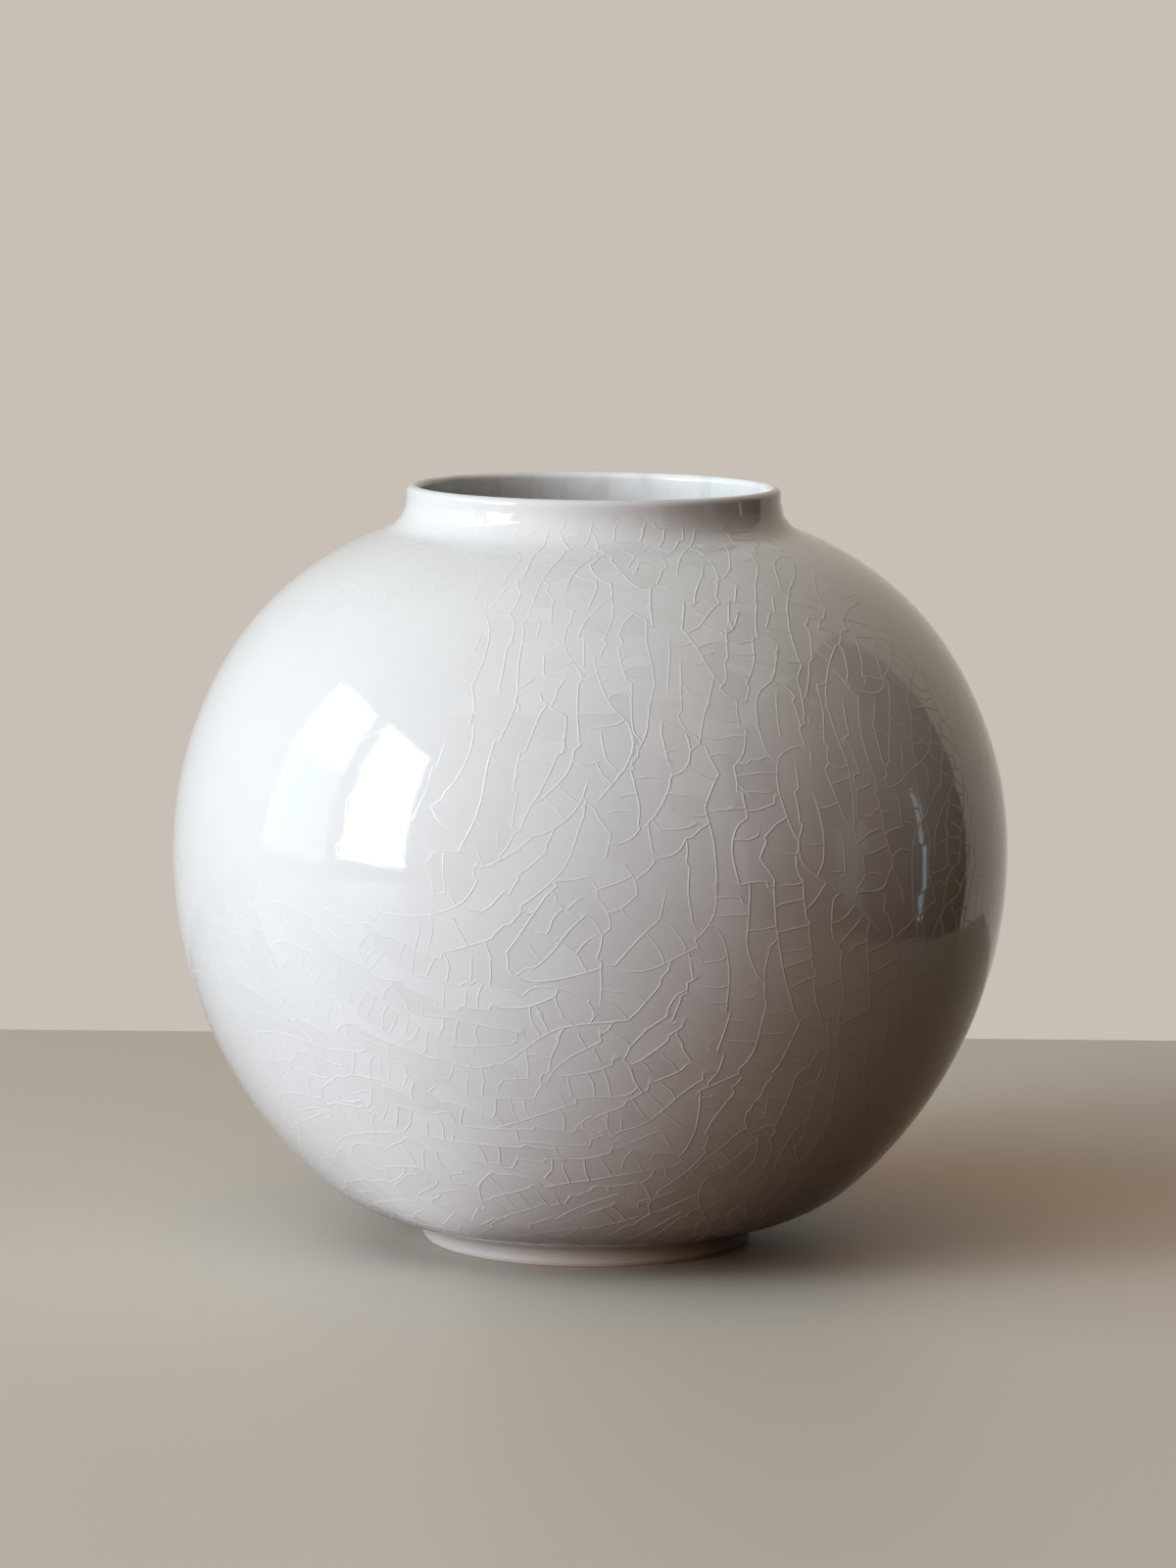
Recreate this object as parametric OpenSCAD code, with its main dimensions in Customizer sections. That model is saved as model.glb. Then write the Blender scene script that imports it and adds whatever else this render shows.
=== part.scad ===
// Round porcelain vase with a low collar mouth and a small foot ring.
// Thrown in sections that are luted together with slip, then glazed inside and out.
// Origin: centre of the foot on the surface it stands on, +Z up, millimetres.

/* [Body] */
// Diameter over the glaze at the widest place
belly_d = 200; // [170:1:240]
// Radius of the lower wall, as seen in outline
lower_r = 106; // [92:1:120]
// Radius of the heel, where the lower wall turns under
heel_r = 41.5; // [34:0.5:48]
// Angle below the belly at which the lower wall turns into the heel
heel_angle = 47; // [40:1:54]
// Radius of the wall just above the belly
upper_r = 89.5; // [80:0.5:100]
// Angle above the belly at which the wall turns into the shoulder
upper_angle = 30; // [24:1:38]
// Radius of the shoulder
shoulder_r = 72.5; // [64:0.5:80]

/* [Mouth] */
// Diameter of the opening over the glaze
mouth_d = 83; // [70:0.5:96]
// Thickness of the rounded lip, glaze and all
lip_t = 3.1; // [2.6:0.1:4]
// Hollow radius outside, between the shoulder and the collar
neck_r = 8.5; // [7:0.1:10]
// Radius of the turn inside, from the shoulder into the throat
throat_r = 10; // [8:0.1:12]
// Straight height of the collar above the hollow
collar_h = 1.4; // [0.8:0.1:3]

/* [Foot] */
// Height of the vase's underside above the surface it stands on
foot_h = 5.3; // [4.9:0.1:8]
// Diameter of the foot over the glaze
foot_d = 79.2; // [66:0.2:90]
// Width of the clay ring that touches the surface
foot_w = 4.2; // [3:0.1:6]
// Hollow radius between the foot and the heel
cove_r = 4.2; // [3.4:0.1:4.6]
// Bevel on both edges of the foot
rim_bevel = 0.4; // [0.2:0.05:0.6]
// Height of the unglazed band at the bottom of the foot
bare_h = 0.7; // [0.6:0.05:1]
// How far the bead of glaze under the heel stands out
bead_rise = 0.5; // [0.3:0.05:0.8]
// Angle round the cove from the heel down to that bead
bead_back = 12; // [8:1:20]

/* [Wall] */
// Thickness of the clay wall
wall_t = 3.6; // [2.8:0.1:5]
// Thickness of each coat of glaze
glaze_t = 0.45; // [0.3:0.05:0.6]

/* [Joints] */
// Thickness of the slip in each joint
slip_t = 0.4; // [0.2:0.05:0.6]
// Width of the ridge that keys the two bowls together
key_w = 1.8; // [1:0.1:2.2]
// Depth of that ridge
key_d = 1.2; // [0.6:0.1:2]
// Angle from the start of the collar's curve down to its joint
joint_angle = 2; // [1:0.25:6]

/* [Hidden] */

// Facets round the axis
$fn = 180;
// Longest facet along an outline
chord = 3;
// Largest turn between two facets of an outline
turn = 10;

// Depths from the outer glaze to the clay, and to the inner glaze's face
inner_depth = wall_t + 2 * glaze_t;

// Centres of the outline's arcs
heel_c = [belly_d / 2 - lower_r + (lower_r - heel_r) * cos(heel_angle), foot_h + heel_r];
lower_c = [belly_d / 2 - lower_r, heel_c[1] + (lower_r - heel_r) * sin(heel_angle)];
belly_z = lower_c[1];
upper_c = [belly_d / 2 - upper_r, belly_z];
shoulder_c = upper_c + (upper_r - shoulder_r) * [cos(upper_angle), sin(upper_angle)];

// The collar: a hollow outside and a turn inside, both tangent to the shoulder
mouth_r = mouth_d / 2;
neck_x = mouth_r + lip_t + neck_r;
neck_angle = acos((neck_x - shoulder_c[0]) / (shoulder_r + neck_r));
neck_c = shoulder_c + (shoulder_r + neck_r) * [cos(neck_angle), sin(neck_angle)];
throat_x = mouth_r + throat_r;
shoulder_in = shoulder_r - inner_depth;
throat_angle = acos((throat_x - shoulder_c[0]) / (shoulder_in + throat_r));
throat_c = shoulder_c + (shoulder_in + throat_r) * [cos(throat_angle), sin(throat_angle)];
lip_c = [mouth_r + lip_t / 2, neck_c[1] + collar_h];
top_z = lip_c[1] + lip_t / 2;
collar_angle = min(neck_angle, throat_angle) - joint_angle;

// The foot: a cove tangent to the heel, or to the flat underside if the foot is that small
foot_r = foot_d / 2;
foot_in = foot_r - glaze_t - foot_w;
cove_x = foot_r + cove_r;
cove_reach = max(0, cove_x - heel_c[0]);
cove_angle = -acos(cove_reach / (heel_r + cove_r));
cove_c = [cove_x, heel_c[1] + (heel_r + cove_r) * sin(cove_angle)];
// The bead is sunk to half the depth of the glaze
bead_r = (bead_rise + glaze_t / 2) / 2;
bead_angle = cove_angle + 180 + bead_back;
bead_c = cove_c + (cove_r + bead_r - bead_rise) * [cos(bead_angle), sin(bead_angle)];

// Points of an arc about c, from angle a to angle b
function arc_steps(r, a, b) = ceil(max(abs(b - a) / turn, abs(b - a) * PI / 180 * r / chord));
function arc(c, r, a, b) = let (n = arc_steps(r, a, b))
    [for (i = [0 : n]) let (t = a + (b - a) * i / n) c + r * [cos(t), sin(t)]];
function reversed(v) = [for (i = [len(v) - 1 : -1 : 0]) v[i]];
function but_last(v) = [for (i = [0 : len(v) - 2]) v[i]];

// The outer surface at a depth under the glaze, from the heel up to the top of the lip
function wall_line(depth) = concat(
    but_last(arc(heel_c, heel_r - depth, cove_angle, -heel_angle)),
    but_last(arc(lower_c, lower_r - depth, -heel_angle, 0)),
    but_last(arc(upper_c, upper_r - depth, 0, upper_angle)),
    but_last(arc(shoulder_c, shoulder_r - depth, upper_angle, neck_angle)),
    arc(neck_c, neck_r + depth, neck_angle + 180, 180),
    arc(lip_c, lip_t / 2 - depth, 0, 90));

// The underside at that depth, from the axis to where the cove meets it
function under_line(depth) = concat(
    [[0, foot_h + depth]],
    but_last(arc(heel_c, heel_r - depth, -90, cove_angle)));

// The side of the foot and its cove at that depth
function foot_line(depth) = arc(cove_c, cove_r + depth, 180, cove_angle + 180);

// The inner surface at a depth under the inner glaze, from the axis to the top of the lip
function inner_line(depth) = concat(
    [[0, foot_h + inner_depth - depth]],
    but_last(arc(heel_c, heel_r - inner_depth + depth, -90, -heel_angle)),
    but_last(arc(lower_c, lower_r - inner_depth + depth, -heel_angle, 0)),
    but_last(arc(upper_c, upper_r - inner_depth + depth, 0, upper_angle)),
    but_last(arc(shoulder_c, shoulder_in + depth, upper_angle, throat_angle)),
    arc(throat_c, throat_r - depth, throat_angle + 180, 180),
    arc(lip_c, lip_t / 2 - depth, 180, 90));

// Everything inside the outer surface at a depth, as if the vase were solid
module solid_outline(depth) {
    polygon(concat(under_line(depth), wall_line(depth), [[0, top_z - depth]]));
}

// The section through all the thrown clay above the foot
module clay_section() {
    polygon(concat(under_line(glaze_t), wall_line(glaze_t), reversed(but_last(inner_line(glaze_t)))));
}

// The foot and its joint, before the vase's underside is taken from them
module foot_section() {
    wall_r = foot_r - glaze_t;
    polygon(concat(
        [[foot_in, rim_bevel], [foot_in + rim_bevel, 0], [wall_r - rim_bevel, 0], [wall_r, rim_bevel]],
        foot_line(glaze_t),
        [[foot_in, heel_c[1]]]));
}

// All that lies above the joint at the belly, with the keying ridge hanging down
module above_belly() {
    mid_r = belly_d / 2 - inner_depth / 2;
    polygon([[0, belly_z], [mid_r - key_w / 2, belly_z], [mid_r, belly_z - key_d],
             [mid_r + key_w / 2, belly_z], [belly_d, belly_z], [belly_d, belly_z + top_z],
             [0, belly_z + top_z]]);
}

// All that lies above the collar's joint, which is square to the wall
module above_collar_joint() {
    translate(shoulder_c) rotate(collar_angle) square(top_z);
}

// The clay ring that the vase stands on
module foot_ring() {
    color("wheat") rotate_extrude() difference() {
        foot_section();
        solid_outline(glaze_t - slip_t);
    }
}

// Slip between the foot ring and the underside
module foot_slip_joint() {
    color("tan") rotate_extrude() intersection() {
        foot_section();
        difference() {
            solid_outline(glaze_t - slip_t);
            solid_outline(glaze_t);
        }
    }
}

// Thrown bowl that makes the floor and the lower half, with a groove in its rim
module lower_bowl() {
    color("linen") rotate_extrude() difference() {
        clay_section();
        translate([0, -slip_t]) above_belly();
    }
}

// Slip in the keyed joint round the belly
module belly_slip_joint() {
    color("tan") rotate_extrude() intersection() {
        clay_section();
        difference() {
            translate([0, -slip_t]) above_belly();
            above_belly();
        }
    }
}

// Thrown bowl that is turned over to make the upper half and the shoulder
module upper_bowl() {
    color("antiquewhite") rotate_extrude() difference() {
        intersection() {
            clay_section();
            above_belly();
        }
        translate(slip_t * [sin(collar_angle), -cos(collar_angle)]) above_collar_joint();
    }
}

// Slip under the collar
module collar_slip_joint() {
    color("tan") rotate_extrude() intersection() {
        clay_section();
        difference() {
            translate(slip_t * [sin(collar_angle), -cos(collar_angle)]) above_collar_joint();
            above_collar_joint();
        }
    }
}

// Thrown ring that makes the neck and the rounded lip
module collar() {
    color("linen") rotate_extrude() intersection() {
        clay_section();
        above_collar_joint();
    }
}

// Glaze over the outside, from the bare band of the foot to the top of the lip
module outer_glaze() {
    color("gainsboro") rotate_extrude() union() {
        polygon(concat(
            [[foot_r, bare_h]], foot_line(0), wall_line(0),
            reversed(concat([[foot_r - glaze_t, bare_h]], foot_line(glaze_t), wall_line(glaze_t)))));
        translate(bead_c) circle(r = bead_r);
    }
}

// Glaze poured inside, up to the top of the lip
module inner_glaze() {
    color("whitesmoke") rotate_extrude()
        polygon(concat(inner_line(0), reversed(inner_line(glaze_t))));
}

// Glaze in the recess inside the foot
module recess_glaze() {
    color("whitesmoke") rotate_extrude() difference() {
        translate([0, bare_h]) square([foot_in, belly_z - bare_h]);
        solid_outline(glaze_t);
        difference() {
            square([foot_in - glaze_t, belly_z]);
            solid_outline(0);
        }
    }
}

foot_ring();
foot_slip_joint();
lower_bowl();
belly_slip_joint();
upper_bowl();
collar_slip_joint();
collar();
outer_glaze();
inner_glaze();
recess_glaze();
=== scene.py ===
import math
import random

import bpy
import numpy as np
from mathutils import Euler, Matrix, Vector, kdtree
from mathutils.geometry import delaunay_2d_cdt


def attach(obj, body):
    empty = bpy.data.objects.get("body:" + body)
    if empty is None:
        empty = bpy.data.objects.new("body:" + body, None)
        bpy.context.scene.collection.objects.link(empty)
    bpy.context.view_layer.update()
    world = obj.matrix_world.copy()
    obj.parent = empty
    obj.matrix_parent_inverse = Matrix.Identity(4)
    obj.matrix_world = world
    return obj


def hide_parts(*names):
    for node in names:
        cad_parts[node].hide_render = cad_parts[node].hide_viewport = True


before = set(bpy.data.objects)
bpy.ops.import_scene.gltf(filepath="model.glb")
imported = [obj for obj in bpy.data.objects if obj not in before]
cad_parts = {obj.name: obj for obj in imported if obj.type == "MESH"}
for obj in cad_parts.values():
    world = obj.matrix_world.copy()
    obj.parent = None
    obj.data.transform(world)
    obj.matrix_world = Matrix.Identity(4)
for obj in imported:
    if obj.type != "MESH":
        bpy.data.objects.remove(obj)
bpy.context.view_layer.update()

MM = 0.001

# The view. A long lens stands in front of the vase, above its mouth, and looks a little down,
# so that the ellipse of the mouth opens as it does in the photograph.
CAMERA_X = -0.7 * MM
CAMERA_DISTANCE = 1446 * MM
CAMERA_HEIGHT = 296.45 * MM
LOOK_DOWN = math.radians(7.357)
LEAN = math.radians(0.55)
PHOTO_HEIGHT_PX = 1600
FOCAL_LENGTH_PX = 6206.3
SENSOR_MM = 36

lens = bpy.data.cameras.new("view")
lens.sensor_fit = "VERTICAL"
lens.sensor_height = SENSOR_MM
lens.lens = FOCAL_LENGTH_PX / PHOTO_HEIGHT_PX * SENSOR_MM
view = bpy.data.objects.new("view", lens)
facing = Euler((math.pi / 2 - LOOK_DOWN, 0, 0)).to_matrix() @ Matrix.Rotation(LEAN, 3, "Z")
view.matrix_world = Matrix.Translation((CAMERA_X, -CAMERA_DISTANCE, CAMERA_HEIGHT)) @ facing.to_4x4()
bpy.context.scene.collection.objects.link(view)
bpy.context.scene.camera = view
bpy.context.scene.view_settings.view_transform = "Standard"

# The glaze over the outside. A thick pale glaze is poured over the thrown clay and crazes as it
# cools, into small plates with a raised line between them. It rounds the lip, fills the cove under
# the heel with a bead, and stops short of the foot's bare edge.
BELLY_R = 100 * MM
LOWER_R = 106 * MM
HEEL_R = 41.5 * MM
HEEL_ANGLE = math.radians(47)
UPPER_R = 89.5 * MM
UPPER_ANGLE = math.radians(30)
SHOULDER_R = 72.5 * MM
MOUTH_R = 41.5 * MM
LIP_T = 3.1 * MM
NECK_R = 8.5 * MM
THROAT_R = 10 * MM
COLLAR_H = 1.4 * MM
FOOT_H = 5.3 * MM
FOOT_R = 39.6 * MM
FOOT_W = 4.2 * MM
COVE_R = 4.2 * MM
BARE_H = 0.7 * MM
BEAD_RISE = 0.5 * MM
BEAD_BACK = math.radians(12)
BEAD_SPREAD = math.radians(9)
WALL_T = 3.6 * MM
GLAZE_T = 0.45 * MM
WEDGES = 192
BEND_STEP = math.radians(10)
AXIS_GAP = 1e-6
TURN = 2 * math.pi

heel_c = np.array([BELLY_R - LOWER_R + (LOWER_R - HEEL_R) * math.cos(HEEL_ANGLE), FOOT_H + HEEL_R])
lower_c = np.array([BELLY_R - LOWER_R, heel_c[1] + (LOWER_R - HEEL_R) * math.sin(HEEL_ANGLE)])
upper_c = np.array([BELLY_R - UPPER_R, lower_c[1]])
shoulder_c = upper_c + (UPPER_R - SHOULDER_R) * np.array([math.cos(UPPER_ANGLE), math.sin(UPPER_ANGLE)])
neck_angle = math.acos((MOUTH_R + LIP_T + NECK_R - shoulder_c[0]) / (SHOULDER_R + NECK_R))
neck_c = shoulder_c + (SHOULDER_R + NECK_R) * np.array([math.cos(neck_angle), math.sin(neck_angle)])
lip_c = np.array([MOUTH_R + LIP_T / 2, neck_c[1] + COLLAR_H])
cove_angle = -math.acos((FOOT_R + COVE_R - heel_c[0]) / (HEEL_R + COVE_R))
cove_c = heel_c + (HEEL_R + COVE_R) * np.array([math.cos(cove_angle), math.sin(cove_angle)])


def arc(centre, radius, start, end, chord, outward=1):
    """Rows of radius, height and outward direction along an arc of the vase's outline."""
    count = max(2, math.ceil(abs(end - start) * max(radius / chord, 1 / BEND_STEP)))
    turn = np.linspace(start, end, count + 1)
    normal = np.stack([np.cos(turn), np.sin(turn)], 1)
    return np.hstack([centre + radius * normal, outward * normal])


def wall_rows(depth, chord, start, end):
    """The outer wall at a depth under the glaze's face, from an angle of the heel to one of the neck."""
    return np.vstack([
        arc(heel_c, HEEL_R - depth, start, -HEEL_ANGLE, chord)[:-1],
        arc(lower_c, LOWER_R - depth, -HEEL_ANGLE, 0, chord)[:-1],
        arc(upper_c, UPPER_R - depth, 0, UPPER_ANGLE, chord)[:-1],
        arc(shoulder_c, SHOULDER_R - depth, UPPER_ANGLE, neck_angle, chord)[:-1],
        arc(neck_c, NECK_R + depth, neck_angle + math.pi, end, chord, -1)])


class Lathe:
    """Points, faces and normals of a piece that is turned round the vase's axis."""

    def __init__(self):
        self.points = []
        self.faces = []
        self.normals = []

    def ring(self, radius, height):
        """The points of one ring, or a single point on the axis."""
        first = len(self.points)
        if radius < AXIS_GAP:
            self.points.append((0, 0, height))
            return [first] * WEDGES
        for k in range(WEDGES):
            angle = TURN * k / WEDGES
            self.points.append((radius * math.cos(angle), radius * math.sin(angle), height))
        return list(range(first, first + WEDGES))

    def turn(self, rows, first=None, last=None):
        """Skins a run of outline rows, from a ring that is there already or to one, outside on the right."""
        new_rows = rows[(first is not None):len(rows) - (last is not None)]
        rings = [self.ring(row[0], row[1]) for row in new_rows]
        if first is not None:
            rings.insert(0, first)
        if last is not None:
            rings.append(last)
        for row in range(len(rings) - 1):
            for k in range(WEDGES):
                after = (k + 1) % WEDGES
                angles = TURN * k / WEDGES, TURN * (k + 1) / WEDGES
                corners = [
                    (rings[row][k], row, angles[0]),
                    (rings[row][after], row, angles[1]),
                    (rings[row + 1][after], row + 1, angles[1]),
                    (rings[row + 1][k], row + 1, angles[0])]
                if corners[0][0] == corners[1][0]:
                    corners = corners[1:]
                elif corners[2][0] == corners[3][0]:
                    corners = corners[:3]
                self.faces.append([c[0] for c in corners])
                for _, level, angle in corners:
                    out, up = rows[level][2], rows[level][3]
                    self.normals.append((out * math.cos(angle), out * math.sin(angle), up))
        return rings


def add_mesh(name, points, faces):
    """Puts a new mesh into the scene."""
    mesh = bpy.data.meshes.new(name)
    mesh.from_pydata(points, [], faces)
    made = bpy.data.objects.new(name, mesh)
    bpy.context.scene.collection.objects.link(made)
    return made


def piece(name, lathe, replaced):
    """One of the vase's pieces with its own normals, on its body and for its node."""
    made = add_mesh(name, lathe.points, lathe.faces)
    made.data.polygons.foreach_set("use_smooth", [True] * len(lathe.faces))
    made.data.normals_split_custom_set(lathe.normals)
    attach(made, "root")
    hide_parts(replaced)
    return made


# The crackle's extent, its relief and where it is fainter, and the way that its long lines flow.
CRAZE_START = math.radians(-80)
CRAZE_END = math.pi + 0.03
RIDGE_H = 0.08 * MM
RIDGE_HALF_W = 0.3 * MM
MOST_AT_CORNER = 3
CROWDED = 1.2 * MM
FRONT_HALF = (0.05, 0.35)
FLANK_ASIDE = (0.72, 0.92)
FLANK_FADE = 0.8
SMOOTH_ASIDE = (0.3, 0.38)
SMOOTH_FADE = 0.92
SMOOTH_Z = (84 * MM, 98 * MM, 146 * MM, 160 * MM)
SMOOTH_SHARE = (0, 1, 1, 0.55)
HEEL_FADE_Z = (7.5 * MM, 14 * MM)
HEEL_LEAST = 0.1
CRAZE_SEED = 11
STEEP = math.radians(80)
SWEEP = math.radians(40)
SWEEP_SWING = math.radians(48)
SWEEP_START = math.radians(195)
SWEEP_TOP = 1.95
SWEEP_BLEND = 0.7
CRAZE_STEP = 2.3 * MM
LOOK_AHEAD = 2.6 * MM
CRAZE_FLOOR = 0.012
CRAZE_TOP_Z = 176.8 * MM
MAP_COLUMNS = 400
LINK_COLUMNS = 210
FAR = 15 * MM
OPEN_ROOM = 20 * MM
CRAZE_CHORD = 0.25 * MM
RADIUS_STEPS = 4096
WAVES = 5
WAVE_EVEN = 2.2

# How a line steps, turns towards a line ahead of it, curls, kinks and ends.
STEP_SPREAD = (0.7, 1.1)
STEP_AFTER_KINK = 0.6
STEP_REACH = 1.35
SQUARING = 0.8
MOST_SQUARING = 0.5
CURL_KEPT = 0.85
CURL_SPREAD = 0.07
KINK = (0.5, 1.4)
STEPPED_KINKS = 0.6
TOP_WAVER = 0.02
TOP_RAGGED = (-0.025, 0.012)
SHARED_CORNER = 0.7 * MM
PARALLEL = 1e-14
NO_STEP = 1e-6
ON_LINK = (-0.02, 1.02)

# How the flow wanders, and where and how a new line starts.
WANDER = 0.42
WAYS_TRIED = 10
WAY_SPREAD = (0.8, 1.2)
ROOM_SPREAD = 0.16
START_FLOOR = 0.03
START_OVER_TOP = 0.01
START_SPREAD = (-0.4, 0.4)
START_TURN = 0.15
START_CURL = 0.03
FADING_LENGTH_MM = (2, 5)


def wrap(angle):
    """The same angle between minus and plus half a turn."""
    return (angle + math.pi) % TURN - math.pi


class Craze:
    """Craze lines on the wall laid out flat: x is the angle round the vase, and y grows up the wall
    by height over radius, so that shapes keep their angles. Each line runs till it meets another."""

    def __init__(self):
        self.rows = wall_rows(0, CRAZE_CHORD, CRAZE_START, CRAZE_END)
        rise = np.hypot(*np.diff(self.rows[:, :2], axis=0).T)
        self.y = np.concatenate([[0], np.cumsum(2 * rise / (self.rows[1:, 0] + self.rows[:-1, 0]))])
        self.top = float(self.y[-1])
        self.radii = np.interp(np.linspace(0, self.top, RADIUS_STEPS), self.y, self.rows[:, 0]).tolist()
        self.top_line = float(np.interp(CRAZE_TOP_Z, self.rows[:, 1], self.y))
        self.random = random.Random(CRAZE_SEED)
        self.points, self.links, self.cells, self.ends, self.meeting = [], [], {}, set(), []
        self.fine = TURN / MAP_COLUMNS
        self.levels = math.ceil(self.top / self.fine)
        self.room = np.full((MAP_COLUMNS, self.levels), OPEN_ROOM)
        self.broad = self.waves(low=1, high=3, slow=1, fast=4)
        self.narrow = self.waves(low=2, high=6, slow=2, fast=7)

    def waves(self, low, high, slow, fast):
        """Waves that run low to high times round the vase, and slowly or fast up the wall."""
        draw = self.random
        made = []
        for _ in range(WAVES):
            made.append((draw.randint(low, high), draw.uniform(slow, fast), draw.uniform(0, TURN)))
        return made

    def ripple(self, waves, x, y):
        """The sum of the waves at a flat place, mostly between minus and plus one."""
        return sum(math.sin(a * x + b * y + c) for a, b, c in waves) / WAVE_EVEN

    def radius(self, y):
        """The wall's radius at a flat height, looked up in steps."""
        last = RADIUS_STEPS - 1
        return self.radii[min(last, max(0, int(y / self.top * last)))]

    def at(self, y):
        """Radius, height and outward direction of the wall at flat heights."""
        return [np.interp(y, self.y, self.rows[:, k]) for k in range(4)]

    def add_point(self, x, y):
        """Adds a point, and takes the room round it off the map."""
        self.points.append((wrap(x), y))
        self.meeting.append(0)
        radius = self.radius(y)
        reach = int(FAR / radius / self.fine) + 1
        column, level = int((wrap(x) + math.pi) / self.fine), int(y / self.fine)
        levels = np.arange(max(0, level - reach), min(self.levels, level + reach + 1))
        columns = np.arange(column - reach, column + reach + 1)
        across = wrap((columns + 0.5) * self.fine - math.pi - x)[:, None]
        along = ((levels + 0.5) * self.fine - y)[None, :]
        block = np.ix_(columns % MAP_COLUMNS, levels)
        self.room[block] = np.minimum(self.room[block], np.hypot(across, along) * radius)
        return len(self.points) - 1

    def add_link(self, a, b):
        """Joins two points of a line, and notes the link in the grid's cells round it."""
        self.links.append((a, b))
        self.meeting[a] += 1
        self.meeting[b] += 1
        x, y = self.points[a]
        for cell in self.cells_over(x, y, wrap(self.points[b][0] - x), self.points[b][1] - y):
            self.cells.setdefault(cell, set()).add(len(self.links) - 1)

    def cells_over(self, x, y, dx, dy):
        """The grid's cells under the box round a straight step."""
        size = TURN / LINK_COLUMNS
        first = math.floor((min(x, x + dx) + math.pi) / size)
        columns = range(first, math.floor((max(x, x + dx) + math.pi) / size) + 1)
        levels = range(math.floor(min(y, y + dy) / size), math.floor(max(y, y + dy) / size) + 1)
        return [(column % LINK_COLUMNS, level) for column in columns for level in levels]

    def first_met(self, x, y, dx, dy, own=None):
        """How far along a straight step the first line lies, as a share of the step, and which link it is."""
        best, found = 1.0, None
        for link in {k for cell in self.cells_over(x, y, dx, dy) for k in self.cells.get(cell, ())}:
            if link == own:
                continue
            (ax, ay), (bx, by) = self.points[self.links[link][0]], self.points[self.links[link][1]]
            ex, ey, px, py = wrap(bx - ax), by - ay, wrap(ax - x), ay - y
            cross = dx * ey - dy * ex
            if abs(cross) < PARALLEL:
                continue
            share, along = (px * ey - py * ex) / cross, (px * dy - py * dx) / cross
            if NO_STEP < share <= best and ON_LINK[0] <= along <= ON_LINK[1]:
                best, found = share, link
        return best, found

    def meet(self, last, link, x, y):
        """Ends a line on another, at a corner that is there already if one is near, or short of it where a
        near corner has lines enough."""
        a, b = self.links[link]
        away = {}
        for end in (a, b):
            end_x, end_y = self.points[end]
            away[end] = math.hypot(wrap(end_x - x), end_y - y) * self.radius(y)
        if any(self.meeting[end] >= MOST_AT_CORNER and away[end] < CROWDED for end in away):
            self.ends.add(last)
            return
        near = [end for end in away if away[end] < SHARED_CORNER]
        if near:
            corner = near[0]
        else:
            corner = self.add_point(x, y)
            self.links[link] = (a, corner)
            self.meeting[b] -= 1
            self.meeting[corner] += 1
            self.add_link(corner, b)
        if corner != last:
            self.add_link(last, corner)

    def grow(self, start, heading, length, curl, kinks, own, follow):
        """Runs a line from a point until it meets another, fades out or comes to the neck or the heel."""
        draw = self.random
        x, y = self.points[start]
        last, run, step_back = start, 0.0, 0.0
        while run < length:
            radius = self.radius(y)
            step = CRAZE_STEP / radius * draw.uniform(*STEP_SPREAD)
            if step_back:
                step *= STEP_AFTER_KINK
            ahead = step + LOOK_AHEAD / radius
            share, met = self.first_met(x, y, math.cos(heading) * ahead, math.sin(heading) * ahead, own)
            if met is not None and share * ahead > step * STEP_REACH:
                a, b = (self.points[end] for end in self.links[met])
                square = wrap(math.atan2(b[1] - a[1], wrap(b[0] - a[0])) + math.pi / 2 - heading)
                if abs(square) > math.pi / 2:
                    square = wrap(square + math.pi)
                heading += SQUARING * max(-MOST_SQUARING, min(MOST_SQUARING, square))
                ahead = step * STEP_REACH
                share, met = self.first_met(x, y, math.cos(heading) * ahead, math.sin(heading) * ahead, own)
            if met is not None:
                gap = share * ahead
                self.meet(last, met, x + math.cos(heading) * gap, y + math.sin(heading) * gap)
                return
            x, y = x + math.cos(heading) * step, y + math.sin(heading) * step
            top = self.top_line + TOP_WAVER * self.ripple(self.narrow, x, 0) + draw.uniform(*TOP_RAGGED)
            if y < CRAZE_FLOOR or y > top:
                break
            corner = self.add_point(x, y)
            self.add_link(last, corner)
            own = len(self.links) - 1
            last, run = corner, run + step * radius
            curl = CURL_KEPT * curl + draw.gauss(0, CURL_SPREAD)
            off_flow = (self.flow(x, y) - heading + math.pi / 2) % math.pi - math.pi / 2
            heading += curl + follow * off_flow
            if step_back:
                heading -= step_back
                step_back = 0.0
            elif draw.random() < kinks:
                bend = draw.choice((-1, 1)) * draw.uniform(*KINK)
                heading += bend
                if draw.random() < STEPPED_KINKS:
                    step_back = bend
        self.ends.add(last)

    def flow(self, x, y):
        """The way that the long lines run: steep on the shoulder, and swept round in arcs below the belly."""
        swept = SWEEP + SWEEP_SWING * math.sin(2 * x + SWEEP_START)
        low = min(1, max(0, (SWEEP_TOP - y) / SWEEP_BLEND))
        return STEEP + low * (swept - STEEP) + WANDER * self.ripple(self.broad, x, y)

    def shortest_way(self, x, y, pull):
        """The heading that crosses the plate in about the shortest way, pulled a little across the flow."""
        far = FAR / self.radius(y)
        best = None
        for k in range(WAYS_TRIED):
            angle = math.pi * (k + self.random.random()) / WAYS_TRIED
            span = 0
            for way in (angle, angle + math.pi):
                span += self.first_met(x, y, math.cos(way) * far, math.sin(way) * far)[0]
            along_flow = abs(math.cos(angle - self.flow(x, y)))
            cost = span * (1 + pull * along_flow) * self.random.uniform(*WAY_SPREAD)
            if best is None or cost < best[0]:
                best = cost, angle
        return best[1]

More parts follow.
